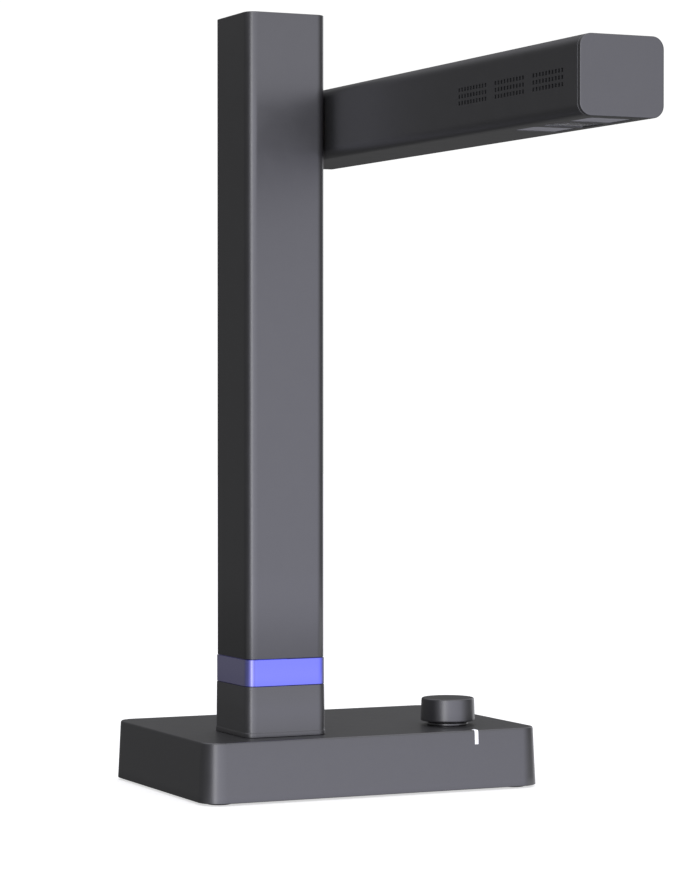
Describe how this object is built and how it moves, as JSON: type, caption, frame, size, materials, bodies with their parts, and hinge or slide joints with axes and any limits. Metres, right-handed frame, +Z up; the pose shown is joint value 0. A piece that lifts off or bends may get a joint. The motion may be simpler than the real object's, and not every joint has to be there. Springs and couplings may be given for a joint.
{
  "type": "book scanner",
  "caption": "Overhead book scanner: weighted base with turn-and-press knob, square post with light ring, and a folding camera arm.",
  "frame": {"origin": "centre of the whole object's footprint, on the table the feet stand on, with the arm out", "axes": "+Z up along the post; -Y towards the user, the way the arm points; +X to the user's right, across the base"},
  "size_m": [0.1952, 0.3858, 0.409],
  "materials": {
    "graphite_plastic": "satin dark-grey paint with a fine grain",
    "graphite_metal": "dark-grey anodised satin",
    "black_plastic": "matt moulded black",
    "black_rubber": "matt",
    "zinc_steel": "zinc plated",
    "cast_steel": "phosphated",
    "circuit_board": "solder mask",
    "bronze": "sintered bronze",
    "blue_diffuser": "frosted translucent, lit blue from inside",
    "white_diffuser": "clear light pipe, lit white",
    "lamp_diffuser": "frosted lamp window",
    "dark_glass": "coated glass",
    "cable_sleeve": "matt sleeve"
  },
  "bodies": {
    "base": {"base_housing": "graphite_plastic", "post_collar": "graphite_plastic", "post_tube": "graphite_metal", "knob_ring": "graphite_metal", "base_plate": "black_plastic", "power_socket": "black_plastic", "encoder_body": "black_plastic", "post_top_cap": "black_plastic", "foot_front_left": "black_rubber", "foot_front_right": "black_rubber", "foot_rear_left": "black_rubber", "foot_rear_right": "black_rubber", "base_screw_front_left": "zinc_steel", "base_screw_front_right": "zinc_steel", "base_screw_rear_left": "zinc_steel", "base_screw_rear_right": "zinc_steel", "post_screw_front_left": "zinc_steel", "post_screw_front_right": "zinc_steel", "post_screw_rear_left": "zinc_steel", "post_screw_rear_right": "zinc_steel", "tube_screw_lower": "zinc_steel", "tube_screw_upper": "zinc_steel", "bracket_screw_top_rear": "zinc_steel", "bracket_screw_top_front": "zinc_steel", "bracket_screw_low_front": "zinc_steel", "bracket_screw_low_rear": "zinc_steel", "hinge_bracket": "zinc_steel", "stop_pin": "zinc_steel", "usb_socket": "zinc_steel", "ballast_plate": "cast_steel", "post_core": "cast_steel", "main_board": "circuit_board", "light_board": "circuit_board", "friction_washer": "bronze", "light_ring": "blue_diffuser", "indicator_light_pipe": "white_diffuser", "post_cable": "cable_sleeve"},
    "arm": {"arm_housing": "graphite_plastic", "arm_front_cap": "graphite_plastic", "arm_rear_cap": "graphite_plastic", "front_lamp_window": "lamp_diffuser", "camera_window": "dark_glass", "rear_lamp_window": "lamp_diffuser", "optics_carrier": "black_plastic", "front_lamp_board": "circuit_board", "rear_lamp_board": "circuit_board", "lens_barrel": "black_plastic", "lens_glass": "dark_glass", "camera_board": "circuit_board", "arm_cable": "cable_sleeve", "hinge_axle": "zinc_steel", "axle_screw_rear": "zinc_steel", "axle_screw_front": "zinc_steel", "axle_nut": "zinc_steel", "spring_washer": "zinc_steel", "thrust_washer": "bronze", "stop_washer": "zinc_steel"},
    "knob_press": {"press_plunger": "bronze"},
    "knob": {"knob_shaft": "zinc_steel", "knob_cap": "graphite_metal"}
  },
  "joints": [
    {"name": "arm_fold", "type": "hinge", "parent": "base", "child": "arm", "pos_m": [-0.02265, 0.09605, 0.3532], "axis": [1, 0, 0], "range_deg": [0, 90]},
    {"name": "knob_press", "type": "slide", "parent": "base", "child": "knob_press", "axis": [0, 0, -1], "range_m": [0, 0.0005], "stiffness_N_per_m": 1500, "springref_m": -0.002},
    {"name": "knob_turn", "type": "hinge", "parent": "knob_press", "child": "knob", "pos_m": [0.0581, 0.09245, 0.0408], "axis": [0, 0, 1], "continuous": true}
  ]
}
